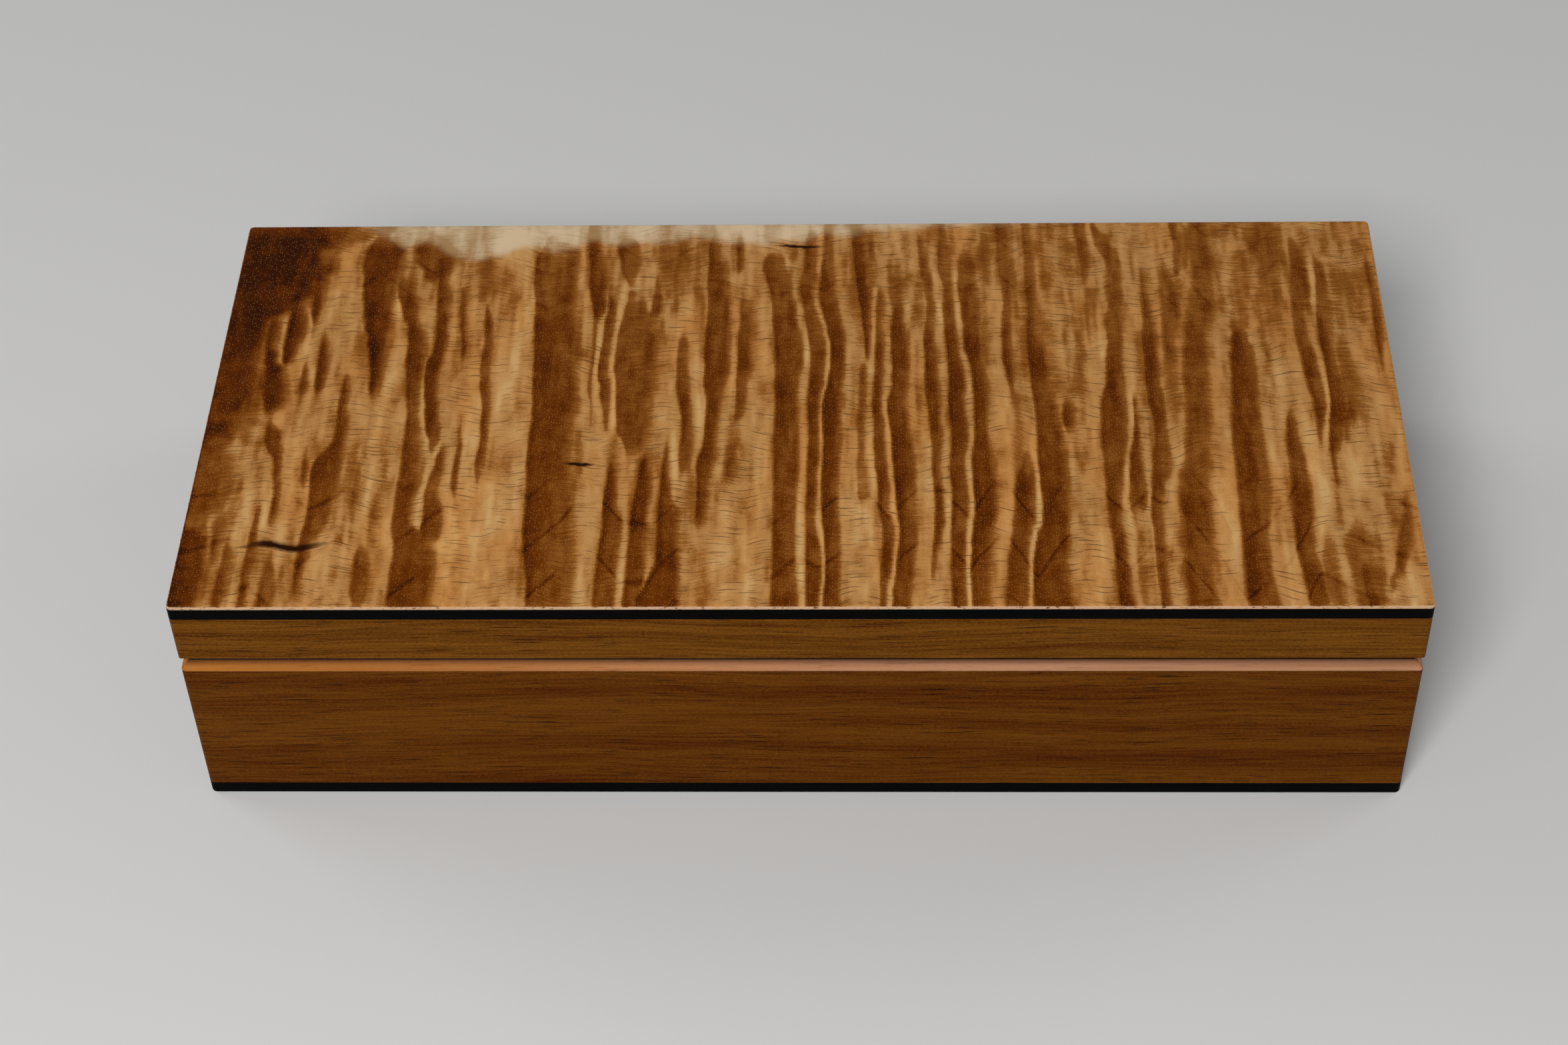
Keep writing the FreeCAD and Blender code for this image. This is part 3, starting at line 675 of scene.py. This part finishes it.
def figured_wood(look):
    """Curly veneer: its streaks come from the mesh, and its fine grain from the place on the lid."""
    made, tree, surface = new_material("Figured veneer")
    place = millimetres(tree)
    curl, sap, growth = (add(tree, "ShaderNodeAttribute", attribute_name=name).outputs["Fac"]
                         for name in ("curl", "sapwood", "growth"))
    figure = use("Curly figure", place, Curl=curl, Growth=growth)
    tone = calc("DIVIDE", calc("ADD", figure["Tone"], 0.3), 1.8)
    ramp = add(tree, "ShaderNodeValToRGB", {0: tone})
    stops = ((0.0, look.bright_wood), (0.17, look.light_wood),
             (0.31, blend_of(look.light_wood, look.mid_wood, 0.4)), (0.44, look.mid_wood),
             (0.58, blend_of(look.mid_wood, look.dark_wood, 0.5)), (0.72, look.dark_wood),
             (0.86, look.deep_wood), (1.0, look.heart_wood))
    for at, colour in stops[1:-1]:
        ramp.color_ramp.elements.new(at)
    for element, (at, colour) in zip(ramp.color_ramp.elements, stops):
        element.position = at
        element.color = (*colour, 1.0)
    warmer = tuple(warm / light for warm, light in zip(look.warm_wood, look.light_wood))
    warmth = times(figure["Warmth"], step(figure["Tone"], 0.2, 0.8, 1.0, 0.0))
    colour = mix(warmth, ramp.outputs[0], warmer, "MULTIPLY")
    pale_tone = step(figure["Tone"], -0.15, 0.85)
    pale = mix(pale_tone, look.sap_wood, paler(look.sap_wood, (0.56, 0.44, 0.30)))
    colour = mix(sap, colour, pale)
    colour = mix(times(figure["Flecks"], 0.42), colour, look.light_wood)
    pores = times(figure["Pores"], times(sap, -0.5, 0.74))
    colour = mix(pores, colour, paler(look.deep_wood, (0.7, 1.3, 10.0)))
    for middle, half_long, half_thick, swing in SCARS:
        mark = scar(place, middle, half_long, half_thick, swing)
        colour = mix(mark, colour, paler(look.deep_wood, 0.25))
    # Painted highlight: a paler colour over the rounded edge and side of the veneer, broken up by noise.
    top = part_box("top_veneer")[1].z / MM
    edge_highlight_band = step(split(place)[2], top - 0.22, top - 0.05, 1.0, 0.0)
    rim = times(edge_highlight_band, step(noise(place, (0.6, 0.6, 2.0), 3.0, 0.7), 0.34, 0.5))
    colour = mix(rim, colour, look.edge_highlight)
    wire(surface.inputs["Base Color"], colour)
    rub(surface, place, VENEER_POLISH)
    put(surface, {"Specular IOR Level": VENEER_SHINE})
    raise_bump(surface, calc("SUBTRACT", 1.0, figure["Pores"]), 0.01 * MM)
    return made


def black_lacquer(look):
    """Satin black board with the faint tooth of the wood under it."""
    made, tree, surface = new_material("Black board")
    place = millimetres(tree)
    cloud = noise(place, (0.05, 0.4, 0.4), 3.0)
    tooth = noise(place, (1.2, 5.0, 5.0), 2.0)
    shade = mix(cloud, look.black, paler(look.black, 2.2))
    wire(surface.inputs["Base Color"], mix(times(tooth, 0.4), shade, look.black))
    rub(surface, place, LACQUER_POLISH)
    put(surface, {"Specular IOR Level": BOARD_SHINE})
    raise_bump(surface, tooth, 0.01 * MM)
    return made


def brushed_brass(name, brass):
    """Brass brushed along the hinge, a little tarnished."""
    made, tree, surface = new_material(name)
    place = millimetres(tree)
    brush = noise(place, (0.1, 1.8, 1.8), 2.0)
    tarnish = step(noise(place, (0.22, 0.22, 0.22), 2.0), 0.35, 0.75)
    colour = mix(times(tarnish, 0.6), brass, paler(brass, (0.72, 0.66, 0.58)))
    wire(surface.inputs["Base Color"], colour)
    put(surface, {"Metallic": 1.0})
    wire(surface.inputs["Roughness"], times(brush, 0.12, 0.34))
    raise_bump(surface, brush, 0.0004 * MM)
    return made


def suede_cloth(look):
    """Short nap that lies this way and that."""
    made, tree, surface = new_material("Suede")
    place = millimetres(tree)
    brushed = step(noise(place, (0.045, 0.07, 0.05), 3.0, 0.6), 0.35, 0.65)
    nap = noise(place, (4.0, 4.0, 4.0), 3.0, 0.7)
    shade = times(nap, 0.5, times(brushed, 0.5))
    wire(surface.inputs["Base Color"], mix(shade, look.suede, paler(look.suede, 2.4)))
    put(surface, {"Roughness": 0.95, "Specular IOR Level": 0.2, "Sheen Weight": 0.35,
                  "Sheen Roughness": 0.5, "Sheen Tint": (0.5, 0.46, 0.44, 1.0)})
    raise_bump(surface, nap, 0.12 * MM)
    return made


def dress(node, finish):
    """Gives a frame node its finish."""
    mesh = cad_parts[node].data
    mesh.materials.clear()
    mesh.materials.append(finish)


def place_piece(name, shape, finish, body, slot, *nodes):
    """Makes a piece of a finished bmesh: it rides on a body and stands for frame nodes."""
    mesh = bpy.data.meshes.new(name)
    shape.to_mesh(mesh)
    shape.free()
    mesh.materials.append(finish)
    piece = bpy.data.objects.new(name, mesh)
    bpy.context.scene.collection.objects.link(piece)
    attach(piece, body)
    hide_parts(*nodes)
    return piece


def board_block(low, high):
    """Bmesh block between two corners."""
    shape = bmesh.new()
    bmesh.ops.create_cube(shape, size=1.0)
    bmesh.ops.scale(shape, vec=high - low, verts=shape.verts)
    bmesh.ops.translate(shape, vec=(low + high) / 2, verts=shape.verts)
    return shape


def round_edges(shape, edges, radius, segments):
    """Rounds edges over."""
    bmesh.ops.bevel(
        shape, geom=edges, offset=radius, segments=segments, profile=0.5, affect="EDGES", material=-1)


def upright(edge):
    """Whether an edge runs straight up."""
    a, b = (v.co for v in edge.verts)
    return (a - b).to_2d().length < SAME_PLACE


def level_at(edge, z):
    """Whether an edge lies at height z."""
    return all(abs(v.co.z - z) < SAME_PLACE for v in edge.verts)


def flat_top(shape, z):
    """Level faces of a block at height z."""
    level = [f for f in shape.faces if f.normal.z > 0.999]
    return [f for f in level if f.calc_center_bounds().z > z - SAME_PLACE]


def cut_rows(shape, faces, direction, places):
    """Cuts flat faces into rows at places along a direction."""
    left = list(faces)
    for place in places:
        geom = set(left)
        for face in left:
            geom.update(face.edges)
            geom.update(face.verts)
        cut = bmesh.ops.bisect_plane(
            shape, geom=list(geom), dist=1e-9, plane_co=direction * place, plane_no=direction)
        made = [f for f in cut["geom"] if isinstance(f, bmesh.types.BMFace)]
        left = [f for f in made if f.calc_center_bounds().dot(direction) > place]


def cut_cells(shape, faces, z, low, high, wide, deep):
    """Cuts faces into so many columns, and the level ones at height z into so many rows, from low to high."""
    cut_rows(shape, faces, Vector((1, 0, 0)), np.linspace(low[0], high[0], wide + 1)[1:-1])
    cut_rows(shape, flat_top(shape, z), Vector((0, 1, 0)), np.linspace(low[1], high[1], deep + 1)[1:-1])


def path_at(points, at):
    """Smooth line through (place, value) points, at many places."""
    places = np.array([p for p, _ in points], float)
    values = np.array([v for _, v in points], float)
    order = np.argsort(places)
    places, values = places[order], values[order]
    slopes = np.gradient(values, places)
    at = np.clip(at, places[0], places[-1])
    i = np.clip(np.searchsorted(places, at) - 1, 0, len(places) - 2)
    gap = places[i + 1] - places[i]
    t = (at - places[i]) / gap
    near = (2 * t ** 3 - 3 * t ** 2 + 1) * values[i] + (t ** 3 - 2 * t ** 2 + t) * gap * slopes[i]
    far = (3 * t ** 2 - 2 * t ** 3) * values[i + 1] + (t ** 3 - t ** 2) * gap * slopes[i + 1]
    return near + far


def smooth(value, low, high):
    """Smooth rise from 0 at low to 1 at high."""
    t = np.clip((value - low) / (high - low), 0, 1)
    return t * t * (3 - 2 * t)


def cloud(x, y, size, seed):
    """Smooth random values from -1 to 1 whose lumps are of a size in millimetres."""
    lattice = np.random.default_rng(seed).random((LATTICE, LATTICE)) * 2 - 1
    u, v = x / size + 10 * LATTICE, y / size + 10 * LATTICE
    i, j = np.floor(u).astype(int), np.floor(v).astype(int)
    s, t = smooth(u - i, 0, 1), smooth(v - j, 0, 1)
    i, j = i % LATTICE, j % LATTICE
    k, m = (i + 1) % LATTICE, (j + 1) % LATTICE
    near = lattice[i, j] * (1 - s) + lattice[k, j] * s
    far = lattice[i, m] * (1 - s) + lattice[k, m] * s
    return near * (1 - t) + far * t


def streaks_at(x, y):
    """Depth of the dark streaks at places on the lid, and how near the two nearest are, from 0 to 1."""
    hollow, near_one, near_two = np.zeros_like(x), np.zeros_like(x), np.zeros_like(x)
    for number, (depth, soft_left, soft_right, places) in enumerate(DARK_STREAKS):
        back = places[0][0] + (RUN_OUT if places[0][0] > RUNS_OUT_BACK else 0)
        front = places[-1][0] - (RUN_OUT if places[-1][0] < RUNS_OUT_FRONT else 0)
        close = (x > min(a for _, a, _ in places) - RUN_OUT) & (x < max(b for _, _, b in places) + RUN_OUT)
        close &= (y < back + RUN_OUT) & (y > front - RUN_OUT)
        u, v = x[close], y[close]
        v = v + 2.2 * cloud(u, v, 3.0, 2)
        u = u + 0.22 * cloud(u, 0.35 * v, 2.4, 1)
        wave = 0.24 * cloud(0 * v + 3.7 * number, v, 7.0, 3)
        left = path_at([(p, a) for p, a, _ in places], v) + wave
        right = path_at([(p, b) for p, _, b in places], v) + wave
        ends = smooth(v, front - END_FADE, front + END_FADE)
        ends = ends * (1 - smooth(v, back - END_FADE, back + END_FADE))
        narrowing = 0.45 * (right - left) * (1 - ends)
        left, right = left + narrowing, right - narrowing
        rise, fall = 0.2 + 0.42 * soft_left, 0.4 + 0.7 * soft_right
        core = smooth(u, left - rise, left + rise) * (1 - smooth(u, right - fall, right + fall * 0.8)) * ends
        core *= 1.16 - 0.42 * np.clip((u - left) / (right - left), 0, 1)
        hollow[close] = np.maximum(hollow[close], depth * core)
        around = smooth(u, left - CREST_REACH, left) * (1 - smooth(u, right, right + CREST_REACH)) * ends
        near_two[close] = np.maximum(near_two[close], np.minimum(near_one[close], around * min(1, depth)))
        near_one[close] = np.maximum(near_one[close], around * min(1, depth))
    return hollow, near_one, near_two


def heartwood_at(x, y):
    """Share of dark heartwood at places on the lid, and how deep its tone is."""
    edge = path_at(HEART_EDGE, y) + 3.0 * cloud(x, y, 7.0, 4) + 1.5 * cloud(x, y, 3.0, 5)
    share = 1 - smooth(x, edge - 7, edge + 4.5)
    depth = 1.2 + 0.3 * smooth(y, 14, 34) - 0.35 * smooth(y, 58, 66) + 0.2 * cloud(x, y, 4.0, 6)
    return share, depth


def ripples_at(x, y):
    """Fine ripples of the curl at places on the lid, about 0."""
    narrow = 0.26 * cloud(x, 0.13 * y, 2.3, 8) + 0.2 * cloud(x, 0.2 * y, 1.1, 9)
    return narrow + 0.16 * cloud(x, 0.4 * y, 8.0, 10)


def painted_shade_at(x, y):
    """Painted shade on the open wood at places on the lid: darker towards the back and the back right, where
    the light falls off. It is also darker in the front left corner, and lighter in a strip about 80 to 63 mm
    left of the middle.
    """
    darkening = 0.13 + 0.1 * smooth(y, 5, 45) + 0.05 * smooth(x, 20, 80) * smooth(y, -10, 40)
    darkening += 0.36 * smooth(-x, 122, 137) * smooth(-y, 5, 35)
    return darkening - 0.15 * smooth(x, -84, -76) * (1 - smooth(x, -66, -60))


def curl_at(x, y):
    """Tone of the curl at places on the lid, in mm: under 0 on a bright crest, 1 in a dark hollow."""
    hollow, near_one, near_two = streaks_at(x, y)
    hollow *= 1 - 0.2 * smooth(y, 12, 40) * smooth(x, -14, 4) - 0.1 * smooth(y, 15, 45)
    heart, heart_depth = heartwood_at(x, y)
    hollow = np.maximum(hollow * (1 - 0.2 * heart), heart_depth * heart)
    open_wood = 1 - np.clip(hollow, 0, 1)
    ripple = ripples_at(x, y)
    crest = 0.14 * near_one - 0.46 * near_two
    # The open wood gets painted shade here, darker towards the back and the back right.
    return hollow + ripple * (0.55 + 0.45 * open_wood) + open_wood * (crest + painted_shade_at(x, y))


def sapwood_at(x, y):
    """Share of pale sapwood at places on the lid, in millimetres."""
    edge = path_at(SAPWOOD_EDGE, x) + 0.7 * cloud(x, y, 2.5, 7)
    return smooth(y, edge - 1.6, edge + 2.2) * (1 - 0.45 * smooth(x, 15, 60)) * smooth(x, -118, -99)


def give_values(mesh, name, values):
    """Stores a value for each point of a mesh."""
    mesh.attributes.new(name, "FLOAT", "POINT").data.foreach_set("value", values.astype(np.float32))


class KEEPSAKE_OT_figured_top(bpy.types.Operator):
    """Models the figured veneer with its rounded edge and curly figure"""

    bl_idname = "keepsake.figured_top"
    bl_label = "Figured top"

    def execute(self, context):
        look = context.scene.keepsake_veneer
        low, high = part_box("top_veneer")
        shape = board_block(low, high)
        round_edges(shape, [e for e in shape.edges if upright(e)], look.corner_round, 6)
        round_edges(shape, [e for e in shape.edges if level_at(e, high.z)], look.edge_round, 5)
        middle = [f for f in shape.faces if abs(f.calc_center_bounds().x) < look.corner_round]
        top = [f for f in middle if f.normal.z > 0.01]
        reach = Vector((high.x - look.edge_round, high.y - look.edge_round))
        cut_cells(shape, top, high.z, -reach, reach, look.cells_wide, look.cells_deep)
        piece = place_piece("figured_top", shape, figured_wood(look), "lid", "figured_veneer", "top_veneer")
        mesh = piece.data
        points = np.zeros(len(mesh.vertices) * 3, np.float32)
        mesh.vertices.foreach_get("co", points)
        x, y = (points.reshape(-1, 3)[:, i].astype(float) / MM for i in (0, 1))
        give_values(mesh, "curl", curl_at(x, y))
        give_values(mesh, "sapwood", sapwood_at(x, y))
        give_values(mesh, "growth", np.interp(x, *zip(*GROWTH_LINE)))
        mesh.shade_smooth()
        mesh.set_sharp_from_angle(angle=math.radians(35))
        return {"FINISHED"}


class KEEPSAKE_OT_boards(bpy.types.Operator):
    """Finishes the walls, rails, splines and backing veneer, each with its own grain"""

    bl_idname = "keepsake.boards"
    bl_label = "Boards"

    def execute(self, context):
        look = context.scene.keepsake_boards
        quarter = math.radians(90)
        turns = {"front": 0.0, "back": 0.0, "left": quarter, "right": quarter}
        # Painted highlight colours for the bevel round the rim of the base.
        rim = (look.left_bevel_highlight, look.right_bevel_highlight)
        frames = (("base", "wall", look.wall_light, look.wall_dark, WALL_STREAK, rim),
                  ("lid", "rail", look.rail_light, look.rail_dark, RAIL_STREAK, None))
        for body, board, light, dark, streak_height, bevel_highlights in frames:
            for number, side in enumerate(SIDES):
                offset = (310.0 * number, 47.0 * number, 0.0)
                name = "%s %s %s" % (body.capitalize(), side, board)
                finish = straight_wood(name, light, dark, turns[side], offset, streak_height, bevel_highlights=bevel_highlights)
                dress("%s_%s_%s" % (body, side, board), finish)
        backing = straight_wood("Backing veneer", look.backing_light, look.backing_dark, 0.0,
                                (90.0, 0.0, 0.0), BACKING_STREAK, polish=0.4, pore_depth=0.42)
        dress("backing_veneer", backing)
        bare = straight_wood("Bare spline", look.backing_light, look.backing_dark, quarter,
                             (0.0, 0.0, 0.0), SPLINE_STREAK, polish=0.6)
        for body in ("base", "lid"):
            for corner in CORNERS:
                dress("%s_%s_spline" % (body, corner), bare)
        return {"FINISHED"}


class KEEPSAKE_OT_black_boards(bpy.types.Operator):
    """Finishes the black core of the lid and the black bottom plate"""

    bl_idname = "keepsake.black_boards"
    bl_label = "Black boards"

    def execute(self, context):
        finish = black_lacquer(context.scene.keepsake_fittings)
        for node in ("lid_core", "bottom_plate"):
            dress(node, finish)
        return {"FINISHED"}


class KEEPSAKE_OT_hinges(bpy.types.Operator):
    """Finishes the hinge leaves, pins and screws in brass"""

    bl_idname = "keepsake.hinges"
    bl_label = "Hinges"

    def execute(self, context):
        look = context.scene.keepsake_fittings
        leaves = brushed_brass("Brushed brass", look.brass)
        screws = brushed_brass("Screw brass", look.screw_brass)
        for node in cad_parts:
            if "hinge" in node:
                dress(node, screws if "screw" in node else leaves)
        return {"FINISHED"}


def crown_pad(shape, top_z, edge, crown):
    """Lifts the level top of the pad to a crown that falls off at its edges and ripples slightly."""
    for vertex in shape.verts:
        if vertex.co.z > top_z - SAME_PLACE:
            share_x = 1 - abs(vertex.co.x) / edge.x
            share_y = 1 - abs(vertex.co.y) / edge.y
            soft = min(1.0, 9 * share_x) * min(1.0, 5 * share_y)
            ripple = 0.12 * math.sin(vertex.co.x * 70) * math.sin(vertex.co.y * 95 + 1)
            vertex.co.z += crown * soft * (0.85 + ripple)


class KEEPSAKE_OT_floor_pad(bpy.types.Operator):
    """Models the suede pad on the floor of the box"""

    bl_idname = "keepsake.floor_pad"
    bl_label = "Floor pad"

    def execute(self, context):
        look = context.scene.keepsake_fittings
        low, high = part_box("floor_pad")
        shape = board_block(low, high - Vector((0, 0, look.pad_crown)))
        round_edges(shape, [e for e in shape.edges if upright(e)], look.pad_corner, 5)
        top_z = max(v.co.z for v in shape.verts)
        round_edges(shape, [e for e in shape.edges if level_at(e, top_z)], look.pad_edge, 4)
        cut_cells(shape, flat_top(shape, top_z), top_z, low, high, PAD_CELLS_WIDE, PAD_CELLS_DEEP)
        crown_pad(shape, top_z, high, look.pad_crown)
        piece = place_piece("suede_floor_pad", shape, suede_cloth(look), "base", "suede", "floor_pad")
        piece.data.shade_smooth()
        return {"FINISHED"}


def seen_plainly(tree):
    """1 for what the camera sees straight or in a gloss, and 0 for light that falls on the box."""
    path = add(tree, "ShaderNodeLightPath").outputs
    seen = calc("MAXIMUM", path["Is Camera Ray"], path["Is Glossy Ray"])
    return calc("MAXIMUM", seen, path["Is Transmission Ray"])


def pale_floor(look):
    """Matt floor that keeps the box's shadow and passes into the backdrop's colour far from the box."""
    made, tree, surface = new_material("Pale floor")
    wire(surface.inputs["Base Color"], look.floor_colour)
    put(surface, {"Roughness": 0.9, "Specular IOR Level": 0.1})
    place = add(tree, "ShaderNodeTexCoord").outputs["Object"]
    away = add(tree, "ShaderNodeVectorMath", {0: place}, operation="LENGTH").outputs["Value"]
    far = times(step(away, FLOOR_FADES_FROM, FLOOR_FADES_TO), seen_plainly(tree))
    glow = add(tree, "ShaderNodeEmission", {"Color": look.backdrop_colour, "Strength": 1.0})
    both = add(tree, "ShaderNodeMixShader", {0: far, 1: surface.outputs[0], 2: glow.outputs[0]})
    wire(tree.nodes["Material Output"].inputs["Surface"], both.outputs[0])
    return made


def studio_world(look):
    """Even, slightly cool light from all round, with the backdrop's colour past the floor."""
    world = bpy.data.worlds.new("Studio")
    world.use_nodes = True
    tree = world.node_tree
    even = tree.nodes["Background"]
    wire(even.inputs["Color"], (0.95, 0.97, 1.0))
    wire(even.inputs["Strength"], EVEN_LIGHT)
    backdrop = add(tree, "ShaderNodeBackground", {"Color": look.backdrop_colour, "Strength": 1.0})
    seen = seen_plainly(tree)
    both = add(tree, "ShaderNodeMixShader", {0: seen, 1: even.outputs[0], 2: backdrop.outputs[0]})
    wire(tree.nodes["World Output"].inputs["Surface"], both.outputs[0])
    return world


def soft_lamp(name, place, aim_height, size, power):
    """Square soft lamp that points at the middle of the box."""
    lamp = bpy.data.lights.new(name, "AREA")
    lamp.shape = "SQUARE"
    lamp.size = size
    lamp.energy = power
    made = bpy.data.objects.new(name, lamp)
    made.location = place
    made.rotation_euler = (Vector((0, 0, aim_height)) - Vector(place)).to_track_quat("-Z", "Y").to_euler()
    bpy.context.scene.collection.objects.link(made)


def stand_camera(look):
    """Camera at the photograph's viewing angle."""
    lens = bpy.data.cameras.new("Camera")
    lens.sensor_width = 36.0
    lens.sensor_fit = "HORIZONTAL"
    lens.lens = look.lens
    camera = bpy.data.objects.new("Camera", lens)
    bpy.context.scene.collection.objects.link(camera)
    pitch, yaw, roll = look.camera_pitch, look.camera_yaw, look.camera_roll
    ahead = Vector((math.sin(yaw) * math.cos(pitch), math.cos(yaw) * math.cos(pitch), -math.sin(pitch)))
    level = Vector((math.cos(yaw), -math.sin(yaw), 0))
    above = level.cross(ahead)
    right = math.cos(roll) * level + math.sin(roll) * above
    up = math.cos(roll) * above - math.sin(roll) * level
    turn = Matrix((right, up, -ahead)).transposed().to_4x4()
    camera.matrix_world = Matrix.Translation(look.camera_place) @ turn
    bpy.context.scene.camera = camera


class KEEPSAKE_OT_stage(bpy.types.Operator):
    """Sets the plain floor, the soft studio lamps and the camera"""

    bl_idname = "keepsake.stage"
    bl_label = "Stage"

    def execute(self, context):
        look = context.scene.keepsake_stage
        scene = context.scene
        scene.view_settings.view_transform = "Standard"
        shape = bmesh.new()
        bmesh.ops.create_grid(shape, x_segments=1, y_segments=1, size=look.floor_size / 2)
        mesh = bpy.data.meshes.new("floor")
        shape.to_mesh(mesh)
        shape.free()
        floor = bpy.data.objects.new("floor", mesh)
        floor.location.z = -FLOOR_GAP
        scene.collection.objects.link(floor)
        mesh.materials.append(pale_floor(look))
        scene.world = studio_world(look)
        for lamp in LAMPS:
            soft_lamp(*lamp)
        stand_camera(look)
        return {"FINISHED"}


STEPS = (KEEPSAKE_OT_figured_top, KEEPSAKE_OT_boards, KEEPSAKE_OT_black_boards, KEEPSAKE_OT_hinges,
         KEEPSAKE_OT_floor_pad, KEEPSAKE_OT_stage)
LOOKS = {"keepsake_veneer": VeneerLook, "keepsake_boards": BoardLook, "keepsake_fittings": FittingLook,
         "keepsake_stage": StageLook}


class KEEPSAKE_PT_panel(bpy.types.Panel):
    """Lists the steps of the box and their settings"""

    bl_label = "Keepsake Box"
    bl_idname = "KEEPSAKE_PT_panel"
    bl_space_type = "VIEW_3D"
    bl_region_type = "UI"
    bl_category = "Keepsake Box"

    def draw(self, context):
        for look in LOOKS:
            settings = getattr(context.scene, look)
            for name in settings.bl_rna.properties.keys():
                if name not in ("name", "rna_type"):
                    self.layout.prop(settings, name)
        for made in STEPS:
            self.layout.operator(made.bl_idname)


def register():
    for made in (*LOOKS.values(), *STEPS, KEEPSAKE_PT_panel):
        bpy.utils.register_class(made)
    for name, look in LOOKS.items():
        setattr(bpy.types.Scene, name, PointerProperty(type=look))


def unregister():
    for name in LOOKS:
        delattr(bpy.types.Scene, name)
    for made in (KEEPSAKE_PT_panel, *reversed(STEPS), *LOOKS.values()):
        bpy.utils.unregister_class(made)


def main():
    """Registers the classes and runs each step."""
    register()
    bpy.ops.keepsake.figured_top()
    bpy.ops.keepsake.boards()
    bpy.ops.keepsake.black_boards()
    bpy.ops.keepsake.hinges()
    bpy.ops.keepsake.floor_pad()
    bpy.ops.keepsake.stage()


if __name__ == "__main__":
    main()
